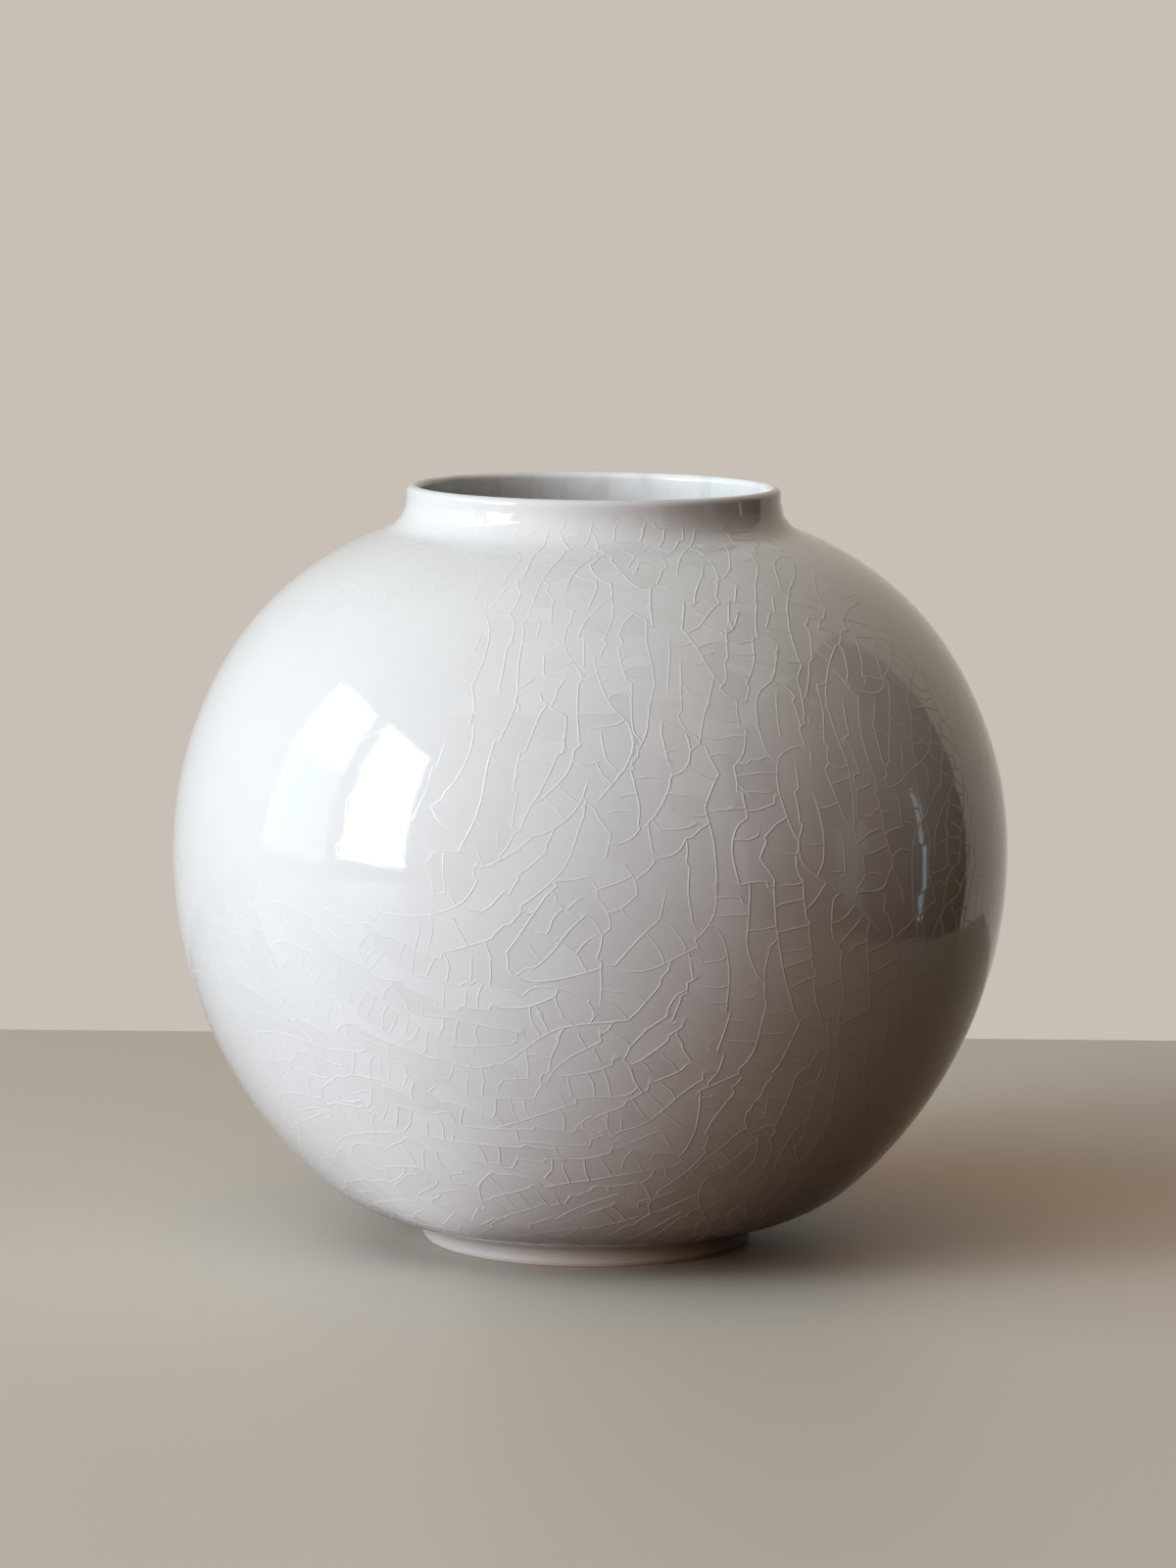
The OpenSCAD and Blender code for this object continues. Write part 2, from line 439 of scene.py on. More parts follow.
    def fill(self, room, kinks, fading, longest, pull=None, follow=0):
        """Starts lines where there is most room, until no place has more than is asked."""
        draw = self.random
        xs = (np.arange(MAP_COLUMNS) + 0.5) * self.fine - math.pi
        ys = (np.arange(self.levels) + 0.5) * self.fine
        swing = np.array([[self.ripple(self.narrow, x, y) for y in ys] for x in xs])
        wanted = room * (1 + ROOM_SPREAD * swing)
        wanted[:, (ys < START_FLOOR) | (ys > self.top_line + START_OVER_TOP)] = 1
        while True:
            share = self.room / wanted
            column, level = divmod(int(np.argmax(share)), self.levels)
            if share[column, level] < 1:
                return
            x = xs[column] + draw.uniform(*START_SPREAD) * self.fine
            y = ys[level] + draw.uniform(*START_SPREAD) * self.fine
            if pull is None:
                heading = self.flow(x, y) + draw.gauss(0, START_TURN)
            else:
                heading = self.shortest_way(x, y, pull)
            start = self.add_point(x, y)
            self.room[column, level] = 0
            curl = draw.gauss(0, START_CURL)
            own = None
            for way, side in ((heading, 1), (heading + math.pi, -1)):
                length = draw.uniform(*FADING_LENGTH_MM) * MM if draw.random() < fading else longest
                first = len(self.links)
                self.grow(start, way, length, side * curl, kinks, own, follow)
                own = first


craze = Craze()
craze.fill(room=4.7 * MM, kinks=0.2, fading=0.15, longest=50 * MM, follow=0.2)
craze.fill(room=2.8 * MM, kinks=0.14, fading=0.25, longest=16 * MM, pull=0.4)

# The points beside the lines, where a ridge meets its plates, and the loose points over the plates.
ROUND_AN_END = (math.pi / 2, math.pi, 3 * math.pi / 2)
OPEN_GAP = 1.7 * math.pi
SHARPEST = 0.55
SIDE_CLEAR = 0.7 * RIDGE_HALF_W
PLATE_SPACING = 3 * MM
PLATE_CLEAR = 1.0 * MM
SPREAD_ROUND = (0.2, 0.8)
SPREAD_UP = (-0.25, 0.25)
SAME_POINT = 1e-6


def side_points(craze):
    """Points a ridge's half width away on both sides of every line, in each corner between its links."""
    ways = {}
    for a, b in craze.links:
        (ax, ay), (bx, by) = craze.points[a], craze.points[b]
        angle = math.atan2(by - ay, wrap(bx - ax))
        ways.setdefault(a, []).append(angle)
        ways.setdefault(b, []).append(angle + math.pi)
    made = []
    for point, angles in ways.items():
        x, y = craze.points[point]
        angles = sorted(angle % TURN for angle in angles)
        for k, angle in enumerate(angles):
            gap = (angles[(k + 1) % len(angles)] - angle) % TURN or TURN
            for turn in ROUND_AN_END if gap > OPEN_GAP else (gap / 2,):
                away = RIDGE_HALF_W / max(SHARPEST, abs(math.sin(min(turn, math.pi / 2)))) / craze.radius(y)
                made.append((x + away * math.cos(angle + turn), y + away * math.sin(angle + turn)))
    return made


def on_wall(craze, flat, lift=0):
    """Places on the wall, and its outward directions there, for flat places lifted off the glaze's face."""
    flat = np.array(flat)
    radius, height, out, up = craze.at(flat[:, 1])
    turn = np.stack([np.cos(flat[:, 0]), np.sin(flat[:, 0])], 1)
    normal = np.hstack([turn * out[:, None], up[:, None]])
    place = np.hstack([turn * radius[:, None], height[:, None]])
    return place + normal * np.asarray(lift).reshape(-1, 1), normal


def tree_of(places):
    """A search tree that finds the nearest of some places."""
    tree = kdtree.KDTree(len(places))
    for k, place in enumerate(places):
        tree.insert(place, k)
    tree.balance()
    return tree


def spread_points(craze, spacing):
    """Loose points over the plates, about evenly apart."""
    draw = random.Random(CRAZE_SEED + 1)
    made = []
    y = 0.5 * spacing / craze.radius(0)
    while y < craze.top - 0.4 * spacing / craze.radius(craze.top):
        step = spacing / craze.radius(y)
        count = int(TURN / step)
        for k in range(count):
            x = TURN * (k + draw.uniform(*SPREAD_ROUND)) / count - math.pi
            made.append((x, y + draw.uniform(*SPREAD_UP) * step))
        y += step
    return made


middles = []
for a, b in craze.links:
    (ax, ay), (bx, by) = craze.points[a], craze.points[b]
    count = max(1, math.ceil(math.hypot(wrap(bx - ax), by - ay) * craze.radius(ay) / CRAZE_CHORD))
    middles += [(ax + wrap(bx - ax) * k / count, ay + (by - ay) * k / count) for k in range(count)]
middle_tree = tree_of(on_wall(craze, middles)[0])


def clear_of_lines(flat, gap):
    """Those of the flat places that lie no nearer to a line than a gap."""
    places = on_wall(craze, flat)[0]
    return [p for p, place in zip(flat, places) if middle_tree.find(place)[2] >= gap]


sides = clear_of_lines(side_points(craze), SIDE_CLEAR)
loose = clear_of_lines(spread_points(craze, PLATE_SPACING), PLATE_CLEAR)
rims = [(TURN * k / WEDGES, y) for y in (0, craze.top) for k in range(WEDGES)]
flat = rims + craze.points + sides + loose
first_line = len(rims)
first_side = first_line + len(craze.points)
edges = [(first_line + a, first_line + b) for a, b in craze.links]
edges += [(rim * WEDGES + k, rim * WEDGES + (k + 1) % WEDGES) for rim in (0, 1) for k in range(WEDGES)]
laid = [Vector((math.exp(y) * math.cos(x), math.exp(y) * math.sin(x))) for x, y in flat]
corners, _, plates, corner_from, _, _ = delaunay_2d_cdt(laid, edges, [], 0, SAME_POINT, True)

spots, on_line, rim_of = [], [], {}
for k, (corner, origin) in enumerate(zip(corners, corner_from)):
    spots.append(flat[origin[0]] if origin else (math.atan2(corner[1], corner[0]), math.log(corner.length)))
    on_line.append(not origin or first_line <= origin[0] < first_side)
    if origin and origin[0] < first_line:
        rim_of[origin[0]] = k

MEAN_STRENGTH = 0.85
STRENGTH_SWING = 0.15
LEAST_STRENGTH = 0.65
END_STRENGTH = 0.2
smooth_y = np.interp(SMOOTH_Z, craze.rows[:, 1], craze.y)
heel_y = np.interp(HEEL_FADE_Z, craze.rows[:, 1], craze.y)


def fullness(x, y):
    """How strongly the crackle shows at a flat place, from 0 to 1. It is fainter on the front's flanks,
    at the window that the left shoulder mirrors and near the heel, as in the photograph."""
    in_front = np.interp(math.sin(x), FRONT_HALF, (1, 0))
    flank = np.interp(abs(math.cos(x)), FLANK_ASIDE, (0, 1))
    left_shoulder = np.interp(-math.cos(x), SMOOTH_ASIDE, (0, 1)) * np.interp(y, smooth_y, SMOOTH_SHARE)
    shown = 1 - in_front * max(FLANK_FADE * flank, SMOOTH_FADE * left_shoulder)
    return shown * np.interp(y, heel_y, (HEEL_LEAST, 1))


line_ends = {first_line + end for end in craze.ends}
line_share, crazed = [], []
for k, origin in enumerate(corner_from):
    x, y = spots[k]
    strength = MEAN_STRENGTH + STRENGTH_SWING * craze.ripple(craze.narrow, 2 * x, 2 * y)
    ending = END_STRENGTH if origin and origin[0] in line_ends else 1
    crazed.append(fullness(x, y))
    line_share.append(min(1, max(LEAST_STRENGTH, strength)) * ending * crazed[-1] if on_line[k] else 0)
lift = [RIDGE_H * (share - 1) for share in line_share]
for k in rim_of.values():
    lift[k] = line_share[k] = 0
places, directions = on_wall(craze, spots, lift)
foot_rim = {rim_of[k] for k in range(WEDGES)}
plates = [tuple(reversed(f)) for f in plates if not all(k in foot_rim for k in f)]

# Faces that share an edge lie on one plate, unless the edge is a line. Each plate has its tilt and a random
# tone, which is partly the glaze's own and partly painted shade for a tilted plate.
line_edges = {frozenset(edge) for edge in craze.links}
origin_of = [origin[0] - first_line if origin else None for origin in corner_from]
neighbours = {}
for number, face in enumerate(plates):
    for k in range(len(face)):
        neighbours.setdefault(frozenset((face[k - 1], face[k])), []).append(number)
draw = random.Random(CRAZE_SEED + 2)
plate_of = [None] * len(plates)
plate_tone_and_shade, plate_tilt = [], []
for number in range(len(plates)):
    if plate_of[number] is not None:
        continue
    mark = len(plate_tone_and_shade)
    plate_tone_and_shade.append(draw.uniform(-1, 1))
    plate_tilt.append((draw.gauss(0, 1), draw.gauss(0, 1), draw.gauss(0, 1)))
    waiting = [number]
    plate_of[number] = mark
    while waiting:
        face = plates[waiting.pop()]
        for k in range(len(face)):
            a, b = face[k - 1], face[k]
            if on_line[a] and on_line[b] and frozenset((origin_of[a], origin_of[b])) in line_edges:
                continue
            for other in neighbours[frozenset((a, b))]:
                if plate_of[other] is None:
                    plate_of[other] = mark
                    waiting.append(other)

PLATE_TILT = 0.006
STEEPEST = 0.3
NO_AREA = 1e-24
NO_SLOPE = 1e-9
corner_of = np.array(plates)
lift = np.array(lift)
on_face = (places - directions * lift[:, None])[corner_of]
side_a, side_b = on_face[:, 1] - on_face[:, 0], on_face[:, 2] - on_face[:, 0]
across = np.cross(side_a, side_b)
climb = lift[corner_of[:, 1:]] - lift[corner_of[:, :1]]
slope = climb[:, :1] * np.cross(side_b, across) + climb[:, 1:] * np.cross(across, side_a)
slope /= np.maximum(NO_AREA, (across ** 2).sum(1))[:, None]
slope *= np.minimum(1, STEEPEST / np.maximum(NO_SLOPE, np.linalg.norm(slope, axis=1)))[:, None]
beside_line = np.array(on_line)[corner_of].any(1)
crazed = np.array(crazed)[corner_of].mean(1)
tilt = PLATE_TILT * np.array(plate_tilt)[plate_of] * (crazed * ~beside_line)[:, None]
bent = directions[corner_of] - slope[:, None] + tilt[:, None]
at_foot = np.isin(corner_of, list(foot_rim))
bent[at_foot] = directions[corner_of[at_foot]]
bent /= np.linalg.norm(bent, axis=2)[:, :, None]

skin = Lathe()
skin.points = [tuple(place) for place in places]
skin.faces = corner_of.tolist()
skin.normals = [tuple(normal) for normal in bent.reshape(-1, 3)]
plate_tones_and_shade = (crazed * np.array(plate_tone_and_shade)[plate_of]).tolist()

# Below the crackle the glaze goes round the heel and through the cove, and above it over the lip. A
# plain skin closes it against the clay.
CHORD = 0.6 * MM
HIDDEN_CHORD = 6 * MM
COVE_POINTS = 40
EDGE_R = 0.18 * MM
EDGE_POINTS = 5
bead_at = cove_angle + math.pi + BEAD_BACK
cove_turn = np.linspace(cove_angle + math.pi, math.pi, COVE_POINTS)
from_bead = np.clip(np.abs(cove_turn - bead_at) / BEAD_SPREAD, 0, 1)
cove_reach = COVE_R - BEAD_RISE * (0.5 + 0.5 * np.cos(math.pi * from_bead))
cove_line = cove_c + cove_reach[:, None] * np.stack([np.cos(cove_turn), np.sin(cove_turn)], 1)
under = arc(heel_c, HEEL_R, CRAZE_START, cove_angle, CHORD)[:-1, :2]
edge_turn = np.linspace(0, -math.pi / 2, EDGE_POINTS)
edge_x = FOOT_R - EDGE_R + EDGE_R * np.cos(edge_turn)
edge_z = BARE_H + EDGE_R + EDGE_R * np.sin(edge_turn)
edge_line = np.stack([edge_x, edge_z], 1)
outside = np.vstack([under, cove_line, edge_line])


def with_normals(line):
    """Rows of an outline with outward directions worked out from its run, outside on its right."""
    run = np.gradient(np.asarray(line), axis=0)
    run /= np.linalg.norm(run, axis=1)[:, None]
    return np.hstack([line, np.stack([run[:, 1], -run[:, 0]], 1)])


foot_rim_ring = [rim_of[k] for k in range(WEDGES)]
neck_rim_ring = [rim_of[WEDGES + k] for k in range(WEDGES)]
up_foot = with_normals(outside[::-1])
up_foot[-1, 2:] = math.cos(CRAZE_START), math.sin(CRAZE_START)
foot_rings = skin.turn(up_foot, last=foot_rim_ring)
over_lip = np.vstack([
    arc(neck_c, NECK_R, CRAZE_END, math.pi, CHORD, -1),
    arc(lip_c, LIP_T / 2, 0, math.pi / 2, CHORD)])
lip_rings = skin.turn(over_lip, first=neck_rim_ring)
hidden = np.vstack([
    over_lip[-1:, :2],
    arc(lip_c, LIP_T / 2 - GLAZE_T, math.pi / 2, 0, CHORD)[:, :2],
    wall_rows(GLAZE_T, HIDDEN_CHORD, cove_angle, math.pi)[::-1, :2],
    arc(cove_c, COVE_R + GLAZE_T, cove_angle + math.pi, math.pi, HIDDEN_CHORD)[1:, :2],
    [[FOOT_R - GLAZE_T, BARE_H]],
    outside[-1:]])
skin.turn(with_normals(hidden), first=lip_rings[-1], last=foot_rings[0])

outer_glaze = piece("crackle_glaze_outside", skin, "outer_glaze")
tone_of_face = outer_glaze.data.attributes.new("plate_tone_and_shade", "FLOAT", "FACE")
tone_of_face.data.foreach_set("value", plate_tones_and_shade + [0.0] * (len(skin.faces) - len(plate_tones_and_shade)))
on_a_line = outer_glaze.data.attributes.new("craze_line", "FLOAT", "POINT")
on_a_line.data.foreach_set("value", line_share + [0.0] * (len(skin.points) - len(line_share)))


class Shade:
    """A value or colour that a finish works out over a surface, so that its sums read as plain sums."""

    def __init__(self, finish, socket):
        self.finish = finish
        self.socket = socket

    def sum(self, operation, *values):
        return self.finish.node("ShaderNodeMath", {"operation": operation}, dict(enumerate(values)))

    def __add__(self, other):
        return self.sum("ADD", self, other)

    def __sub__(self, other):
        return self.sum("SUBTRACT", self, other)

    def __rsub__(self, other):
        return self.sum("SUBTRACT", other, self)

    def __mul__(self, other):
        return self.sum("MULTIPLY", self, other)

    def __pow__(self, other):
        return self.sum("POWER", self, other)

    __radd__ = __add__
    __rmul__ = __mul__


class Finish:
    """A fired surface's material, built up from its shader outwards."""

    def __init__(self, name, **fixed):
        self.material = bpy.data.materials.new(name)
        self.material.use_nodes = True
        self.tree = self.material.node_tree
        self.shader = self.tree.nodes["Principled BSDF"]
        self.surface(**fixed)

    def feed(self, socket, value):
        if isinstance(value, Shade):
            self.tree.links.new(value.socket, socket)
        else:
            socket.default_value = value

    def node(self, kind, settings=None, sockets=None, output=0):
        made = self.tree.nodes.new(kind)
        for setting, value in (settings or {}).items():
            setattr(made, setting, value)
        for socket, value in (sockets or {}).items():
            self.feed(made.inputs[socket], value)
        return Shade(self, made.outputs[output])

    def noise(self, size, detail=2.0, roughness=0.5, stretch=(1, 1, 1)):
        """Noise from 0 to 1 whose lumps are about as large as size, in metres."""
        place = self.node("ShaderNodeTexCoord", output="Object")
        place = self.node("ShaderNodeVectorMath", {"operation": "MULTIPLY"}, {0: place, 1: stretch})
        return self.node("ShaderNodeTexNoise", None,
                         {"Vector": place, "Scale": 1 / size, "Detail": detail, "Roughness": roughness})

    def steps(self, value, low, high, result_low=0.0, result_high=1.0):
        """A smooth step from one result to the other while a value goes from low to high."""
        return self.node("ShaderNodeMapRange", {"interpolation_type": "SMOOTHSTEP"},
                         {"Value": value, "From Min": low, "From Max": high, "To Min": result_low,
                          "To Max": result_high})

    def blend(self, share, colour_a, colour_b):
        return self.node("ShaderNodeMix", {"data_type": "RGBA"}, {0: share, 6: colour_a, 7: colour_b}, 2)

    def bump(self, height, distance):
        return self.node("ShaderNodeBump", None, {"Height": height, "Distance": distance})

    def seen(self):
        """1 for the rays that show a surface to the camera, straight, by gloss or through glass, else 0."""
        rays = self.node("ShaderNodeLightPath", output="Is Camera Ray")
        for kind in ("Is Glossy Ray", "Is Transmission Ray"):
            rays = rays.sum("MAXIMUM", rays, self.node("ShaderNodeLightPath", output=kind))
        return rays

    def surface(self, **values):
        """Feeds the shader's sockets, whose names have an underline for each space here."""
        for socket, value in values.items():
            self.feed(self.shader.inputs[socket.replace("_", " ")], value)

    def put_on(self, thing):
        thing.data.materials.clear()
        thing.data.materials.append(self.material)


GLAZE_WHITE = (0.795, 0.8, 0.8, 1)
GLAZE_COOL = (0.765, 0.773, 0.78, 1)
GLAZE_TINT_AND_SHADE = (0.71, 0.71, 0.70, 1)
GLAZE_FLECK = (0.66, 0.64, 0.6, 1)
LINE_TONE = (0.74, 0.74, 0.735, 1)
LINE_ROUGHNESS = 0.62
PLATE_TINT_AND_SHADE = 0.32
glaze = Finish("crackle_glaze", IOR=1.5)
pooled = glaze.steps(glaze.noise(38 * MM, 3), 0.35, 0.7)
body_tone = glaze.blend(pooled, GLAZE_WHITE, GLAZE_COOL)
# Each plate is darkened by its own random amount: partly the glaze's own tone, partly painted shade for the
# plates' tilts.
plate = glaze.node("ShaderNodeAttribute", {"attribute_name": "plate_tone_and_shade"}, output="Fac")
body_tone = glaze.blend(plate * PLATE_TINT_AND_SHADE + PLATE_TINT_AND_SHADE, body_tone, GLAZE_TINT_AND_SHADE)
fleck = glaze.steps(glaze.noise(1.1 * MM, 1), 0.73, 0.8, 0, 0.35)
body_tone = glaze.blend(fleck, body_tone, GLAZE_FLECK)
craze_line = glaze.node("ShaderNodeAttribute", {"attribute_name": "craze_line"}, output="Fac")
body_tone = glaze.blend(craze_line, body_tone, LINE_TONE)
gloss = glaze.steps(glaze.noise(14 * MM, 3), 0.3, 0.7, 0.045, 0.08)
glaze.surface(
    Base_Color=body_tone,
    Roughness=gloss + glaze.steps(craze_line, 0, 0.4) * LINE_ROUGHNESS,
    Normal=glaze.bump(glaze.noise(11 * MM, 2), 0.06 * MM))
glaze.put_on(outer_glaze)

# The glaze inside. The same glaze is poured in and out again, thinner and uncrazed, and meets the
# outer coat on top of the lip. Its whites are paler than the outer glaze's: painted light that
# brightens the shaded inside of the mouth.
INNER_DEPTH = WALL_T + 2 * GLAZE_T
INNER_CHORD = 3 * MM
throat_x = MOUTH_R + THROAT_R
shoulder_in = SHOULDER_R - INNER_DEPTH
throat_angle = math.acos((throat_x - shoulder_c[0]) / (shoulder_in + THROAT_R))
throat_c = shoulder_c + (shoulder_in + THROAT_R) * np.array([math.cos(throat_angle), math.sin(throat_angle)])


def inner_rows(depth, chord):
    """The inside of the vase at a depth under the inner glaze, from the axis to the top of the lip."""
    return np.vstack([
        [[0, FOOT_H + INNER_DEPTH - depth, 0, 1]],
        arc(heel_c, HEEL_R - INNER_DEPTH + depth, -math.pi / 2, -HEEL_ANGLE, chord, -1)[:-1],
        arc(lower_c, LOWER_R - INNER_DEPTH + depth, -HEEL_ANGLE, 0, chord, -1)[:-1],
        arc(upper_c, UPPER_R - INNER_DEPTH + depth, 0, UPPER_ANGLE, chord, -1)[:-1],
        arc(shoulder_c, shoulder_in + depth, UPPER_ANGLE, throat_angle, chord, -1)[:-1],
        arc(throat_c, THROAT_R - depth, throat_angle + math.pi, math.pi, chord)[:-1],
        arc(lip_c, LIP_T / 2 - depth, math.pi, math.pi / 2, chord)])


inside = Lathe()
lip_to_floor = inner_rows(0, INNER_CHORD)[::-1]
floor_to_lip = inner_rows(GLAZE_T, HIDDEN_CHORD) * [1, 1, -1, -1]
rings = inside.turn(lip_to_floor)
clay_rings = inside.turn(floor_to_lip)
seam = np.vstack([floor_to_lip[-1:], lip_to_floor[:1]])
seam[:, 2:] = 1, 0
inside.turn(seam, first=clay_rings[-1], last=rings[0])
inner_glaze = piece("glaze_inside", inside, "inner_glaze")

# Whites paler than the outer glaze's, as painted light for the shaded inside.
INNER_WHITE_PAINTED_LIGHTER = (0.9, 0.9, 0.895, 1)
INNER_COOL_PAINTED_LIGHTER = (0.86, 0.87, 0.865, 1)
INNER_SMUDGE = (0.66, 0.67, 0.64, 1)
plain = Finish("plain_glaze", IOR=1.5)
inner_tone_with_painted_light = plain.blend(plain.steps(plain.noise(26 * MM, 3), 0.35, 0.7), INNER_WHITE_PAINTED_LIGHTER, INNER_COOL_PAINTED_LIGHTER)
smudge = plain.steps(plain.noise(6 * MM, 3, 0.6, (1, 1, 0.4)), 0.5, 0.68, 0, 0.4)
inner_tone_with_painted_light = plain.blend(smudge, inner_tone_with_painted_light, INNER_SMUDGE)
plain.surface(
    Base_Color=inner_tone_with_painted_light,
    Roughness=plain.steps(plain.noise(12 * MM, 2), 0.3, 0.7, 0.14, 0.22),
    Normal=plain.bump(plain.noise(9 * MM, 2, 0.5, (1, 1, 3)), 0.15 * MM))
plain.put_on(inner_glaze)

# The foot. A ring of clay is joined under the vase with slip and turned true; its flat underside is
# wiped clean of glaze, so the fired clay shows there, with fine turning rings.
foot_wall = FOOT_R - GLAZE_T
foot_in = foot_wall - FOOT_W
RIM_BEVEL = 0.4 * MM
SLIP_T = 0.4 * MM
TOP_INSET = 0.5 * MM


def rounded(corner, before, after, radius, count=6):
    """Points of a rounded corner between two straight runs of an outline."""
    corner, before, after = (np.array(p, float) for p in (corner, before, after))
    start = corner + radius * (before - corner) / np.linalg.norm(before - corner)
    end = corner + radius * (after - corner) / np.linalg.norm(after - corner)
    t = np.linspace(0, 1, count)[:, None]
    return (1 - t) ** 2 * start + 2 * t * (1 - t) * corner + t ** 2 * end


under_slip = HEEL_R - GLAZE_T + SLIP_T


def underside(radius):
    """Height of the slip's lower face over a place of the foot."""
    return heel_c[1] - math.sqrt(under_slip ** 2 - max(0, radius - heel_c[0]) ** 2)


cove_clay = arc(cove_c, COVE_R + GLAZE_T, math.pi, cove_angle + math.pi, CHORD)[:, :2]
cove_clay = cove_clay[cove_clay[:, 1] < [underside(r) for r in cove_clay[:, 0]]]
top_outer = cove_clay[-1]
foot_line = np.vstack([
    [[foot_in, underside(foot_in)]],
    [[foot_in, 0.5 * underside(foot_in)]],
    rounded((foot_in, 0), (foot_in, 1), (foot_wall, 0), RIM_BEVEL),
    rounded((foot_wall, 0), (foot_in, 0), (foot_wall, 1), RIM_BEVEL),
    cove_clay,
    [[top_outer[0] - TOP_INSET, underside(top_outer[0] - TOP_INSET)]],
    [[foot_in, underside(foot_in)]]])
foot = Lathe()
foot.turn(with_normals(foot_line))
foot_ring = piece("foot", foot, "foot_ring")

BARE_PALE = (0.76, 0.73, 0.68, 1)
BARE_DULL = (0.69, 0.655, 0.6, 1)
BARE_SPECK = (0.56, 0.5, 0.43, 1)
bare = Finish("bare_clay", IOR=1.45, Roughness=0.75)
grain = bare.noise(0.5 * MM, 3)
turned = bare.noise(0.9 * MM, 2, 0.5, (0.05, 0.05, 1))
clay_tone = bare.blend(bare.steps(bare.noise(7 * MM, 3), 0.35, 0.7), BARE_PALE, BARE_DULL)
bare.surface(
    Base_Color=bare.blend(bare.steps(grain, 0.6, 0.75, 0, 0.5), clay_tone, BARE_SPECK),
    Normal=bare.bump(grain * 0.6 + turned * 0.4, 0.06 * MM))
bare.put_on(foot_ring)

# The glaze in the recess. The same plain glaze covers the floor's underside and the inside of the
# foot down to its bare edge.
RECESS_ROUND = 0.8 * MM
LOWEST_ROUND = 0.2 * MM
recess_in = foot_in - GLAZE_T
recess = Lathe()
recess_line = np.vstack([
    [[0, FOOT_H]],
    [[0.5 * recess_in, FOOT_H]],
    rounded((recess_in, FOOT_H), (0, FOOT_H), (recess_in, BARE_H), RECESS_ROUND, 8),
    rounded((recess_in, BARE_H), (recess_in, FOOT_H), (foot_in, BARE_H), LOWEST_ROUND, 5),
    [[foot_in, BARE_H]],
    [[foot_in, FOOT_H + GLAZE_T]],
    [[0.5 * foot_in, FOOT_H + GLAZE_T]],
    [[0, FOOT_H + GLAZE_T]]])
recess.turn(with_normals(recess_line))
recess_glaze = piece("glaze_in_recess", recess, "recess_glaze")
plain.put_on(recess_glaze)

# The clay body. Two thrown bowls and a collar make the wall: they stay as the solids have them,
# under the glaze, and are finished as fired clay with throwing rings.
THROWING_RINGS = {"lower_bowl": 5.5 * MM, "upper_bowl": 5 * MM, "collar": 3.5 * MM}
CLAY_PALE = (0.8, 0.76, 0.7, 1)
CLAY_DULL = (0.74, 0.69, 0.61, 1)
CLAY_SPECK = (0.6, 0.52, 0.42, 1)
for name, ring_gap in THROWING_RINGS.items():
    thrown = Finish("fired_" + name, IOR=1.45, Roughness=0.7)
    rings_of_hand = thrown.noise(ring_gap, 2, 0.5, (0.04, 0.04, 1))
    tone = thrown.blend(thrown.steps(thrown.noise(9 * MM, 3), 0.35, 0.7), CLAY_PALE, CLAY_DULL)
    specks = thrown.steps(thrown.noise(0.6 * MM, 2), 0.66, 0.76, 0, 0.4)
    thrown.surface(
        Base_Color=thrown.blend(specks, tone, CLAY_SPECK),
        Normal=thrown.bump(rings_of_hand, 0.2 * MM))
    thrown.put_on(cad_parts[name])

# The slip in the joints. Thin liquid clay joins the foot, the bowls and the collar, and fires a
# little darker and coarser than the clay round it.
SLIP_PALE = (0.7, 0.62, 0.52, 1)
SLIP_DARK = (0.6, 0.52, 0.42, 1)
slip = Finish("fired_slip", IOR=1.45, Roughness=0.85)
slip.surface(
    Base_Color=slip.blend(slip.noise(2.5 * MM, 3), SLIP_PALE, SLIP_DARK),
    Normal=slip.bump(slip.noise(0.7 * MM, 3), 0.08 * MM))
for name in ("foot_slip_joint", "belly_slip_joint", "collar_slip_joint"):
    slip.put_on(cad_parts[name])

# The floor. A plain pale slab whose back edge lies as far behind the vase as the photographed board's,
# and its right edge where the board's is mirrored in the glaze. It throws back less light than it shows.
FLOOR_BACK = 286 * MM
FLOOR_FRONT = -1800 * MM
FLOOR_LEFT = -1400 * MM
FLOOR_RIGHT = 360 * MM
FLOOR_T = 22 * MM
FLOOR_EDGE = 1.5 * MM
edge_profile = [(FLOOR_BACK - FLOOR_EDGE + FLOOR_EDGE * math.sin(t), -FLOOR_EDGE + FLOOR_EDGE * math.cos(t))
                for t in np.linspace(0, math.pi / 2, 7)]
section = [(FLOOR_FRONT, 0)] + edge_profile + [(FLOOR_BACK, -FLOOR_T), (FLOOR_FRONT, -FLOOR_T)]
floor_points = [(x, y, z) for x in (FLOOR_LEFT, FLOOR_RIGHT) for y, z in section]
count = len(section)
floor_faces = [(k, count + k, count + (k + 1) % count, (k + 1) % count) for k in range(count)]
floor_faces += [tuple(range(count)), tuple(range(2 * count - 1, count - 1, -1))]
floor = add_mesh("floor", floor_points, floor_faces)
FLOOR_COLOUR = (0.64, 0.56, 0.48, 1)
FLOOR_BOUNCE = (0.04, 0.022, 0.014, 1)
board = Finish("pale_floor", Base_Color=FLOOR_COLOUR, Roughness=0.5, IOR=1.45)
seen = board.seen()
bounce = board.node("ShaderNodeBsdfDiffuse", None, {"Color": FLOOR_BOUNCE})
pale = Shade(board, board.shader.outputs[0])
both = board.node("ShaderNodeMixShader", None, {0: seen, 1: bounce, 2: pale})
board.feed(board.tree.nodes["Material Output"].inputs["Surface"], both)
board.put_on(floor)

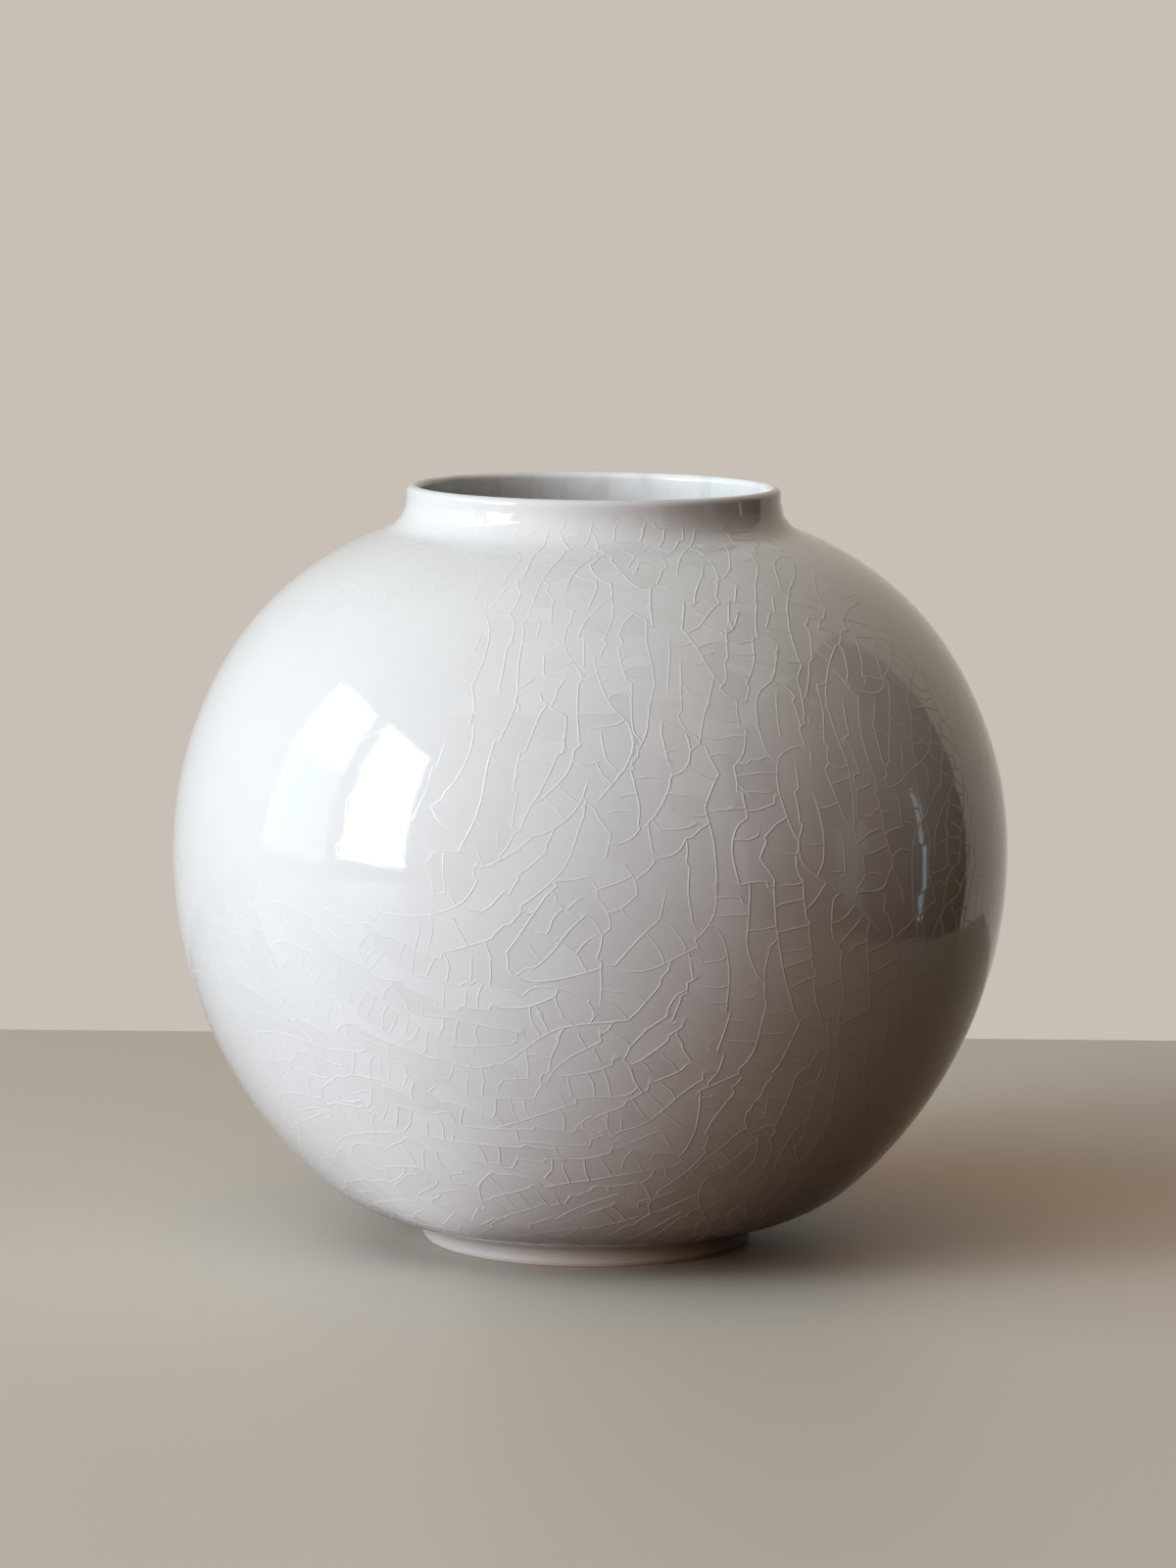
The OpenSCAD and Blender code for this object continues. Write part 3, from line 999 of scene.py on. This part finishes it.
# The panes. Two tall ones with a bar between them stand on the left as a soft daylight, one of them in
# two parts. On the right the gloss alone shows a faint pane and a narrow gap. Each has its place aside,
# its near and far side and its low and high edge in millimetres, and its radiance.
PANES = {
    "left_pane_upper": (-1500, -420, 200, 660, 1250, 4.75),
    "left_pane_lower": (-1500, -420, 200, 80, 655, 1.6),
    "right_pane": (-1500, -1250, -565, 120, 1250, 12.5),
    "faint_pane": (1500, -570, -330, -180, 400, 0.5),
    "narrow_gap": (1500, 240, 290, -232, 415, 1.8)}
DAYLIGHT = (0.665, 0.865, 0.98)


def soft_lamp(name, size, colour, radiance):
    """A rectangular lamp of one radiance all over, which the camera itself doesn't see."""
    lamp = bpy.data.lights.new(name, "AREA")
    lamp.shape = "RECTANGLE"
    lamp.size, lamp.size_y = size
    lamp.color = colour
    lamp.energy = radiance * math.pi * lamp.size * lamp.size_y
    stand = bpy.data.objects.new(name, lamp)
    stand.visible_camera = False
    bpy.context.scene.collection.objects.link(stand)
    return stand


for name, (aside, near, far, low, high, radiance) in PANES.items():
    pane = soft_lamp(name, ((far - near) * MM, (high - low) * MM), DAYLIGHT, radiance)
    pane.location = (aside * MM, (near + far) / 2 * MM, (low + high) / 2 * MM)
    pane.rotation_euler = Vector((aside, 0, 0)).to_track_quat("Z", "Y").to_euler()
    pane.visible_diffuse = aside < 0

# The light off the board. A low lamp close over the floor shines up at the vase's left side, in place
# of the light that the photographed board throws back there.
BOARD_LIGHT_AT = (-125 * MM, -130 * MM, 3 * MM)
BOARD_LIGHT_SIZE = (190 * MM, 170 * MM)
BOARD_LIGHT_COLOUR = (0.95, 0.95, 1)
BOARD_RADIANCE = 0.58
board_light = soft_lamp("light_off_the_board", BOARD_LIGHT_SIZE, BOARD_LIGHT_COLOUR, BOARD_RADIANCE)
board_light.location = BOARD_LIGHT_AT
board_light.rotation_euler = (math.pi, 0, 0)
board_light.visible_glossy = False

# The dark screen. It stands far off on the right, and only the gloss shows it, as the dark side of the
# room that the photographed vase mirrors.
SCREEN_X = 2500 * MM
SCREEN_FRONT = -2780 * MM
SCREEN_BACK = 1640 * MM
SCREEN_LOW = -700 * MM
SCREEN_HIGH = 2800 * MM
SCREEN_COLOUR = (0.04, 0.033, 0.027, 1)
screen_points = [
    (SCREEN_X, SCREEN_FRONT, SCREEN_LOW), (SCREEN_X, SCREEN_BACK, SCREEN_LOW),
    (SCREEN_X, SCREEN_BACK, SCREEN_HIGH), (SCREEN_X, SCREEN_FRONT, SCREEN_HIGH)]
screen = add_mesh("dark_screen", screen_points, [(0, 1, 2, 3)])
screen.visible_camera = screen.visible_diffuse = screen.visible_shadow = False
Finish("dark_cloth", Base_Color=SCREEN_COLOUR, Roughness=0.9).put_on(screen)

# The room. The wall behind is a pale warm grey. Glows from above, from the window's side, from low in
# front on the left and from behind light the vase. Each has its direction, its narrowness and its colour.
WALL_COLOUR = (0.578, 0.522, 0.468, 1)
ROOM_DARK = (0.006, 0.005, 0.004, 1)
GLOWS = (
    ((0, 0, 1), 8, (0.87, 0.57, 0.25, 1)),
    ((-0.45, -0.5, 0.74), 16, (1.35, 1.93, 2.35, 1)),
    ((-0.7, -0.7, 0.03), 12, (3.7, 1.92, 1.14, 1)),
    ((0.1, 1, 0.2), 14, (1.3, 1.15, 1.0, 1)))
room = bpy.data.worlds.new("room")
bpy.context.scene.world = room
room.use_nodes = True


class Room(Finish):
    """The room round the vase, which lights it softly."""

    def __init__(self, world):
        self.tree = world.node_tree
        self.shader = self.tree.nodes["Background"]


air = Room(room)
way = air.node("ShaderNodeTexCoord", output="Generated")
glow = ROOM_DARK
for comes_from, narrowness, colour in GLOWS:
    towards = {0: way, 1: tuple(Vector(comes_from).normalized())}
    facing_it = air.node("ShaderNodeVectorMath", {"operation": "DOT_PRODUCT"}, towards, "Value")
    share = facing_it.sum("MAXIMUM", facing_it, 0) ** narrowness
    adding = {"data_type": "RGBA", "blend_type": "ADD"}
    glow = air.node("ShaderNodeMix", adding, {0: share, 6: glow, 7: colour}, 2)
air.surface(Color=air.blend(air.seen(), glow, WALL_COLOUR))
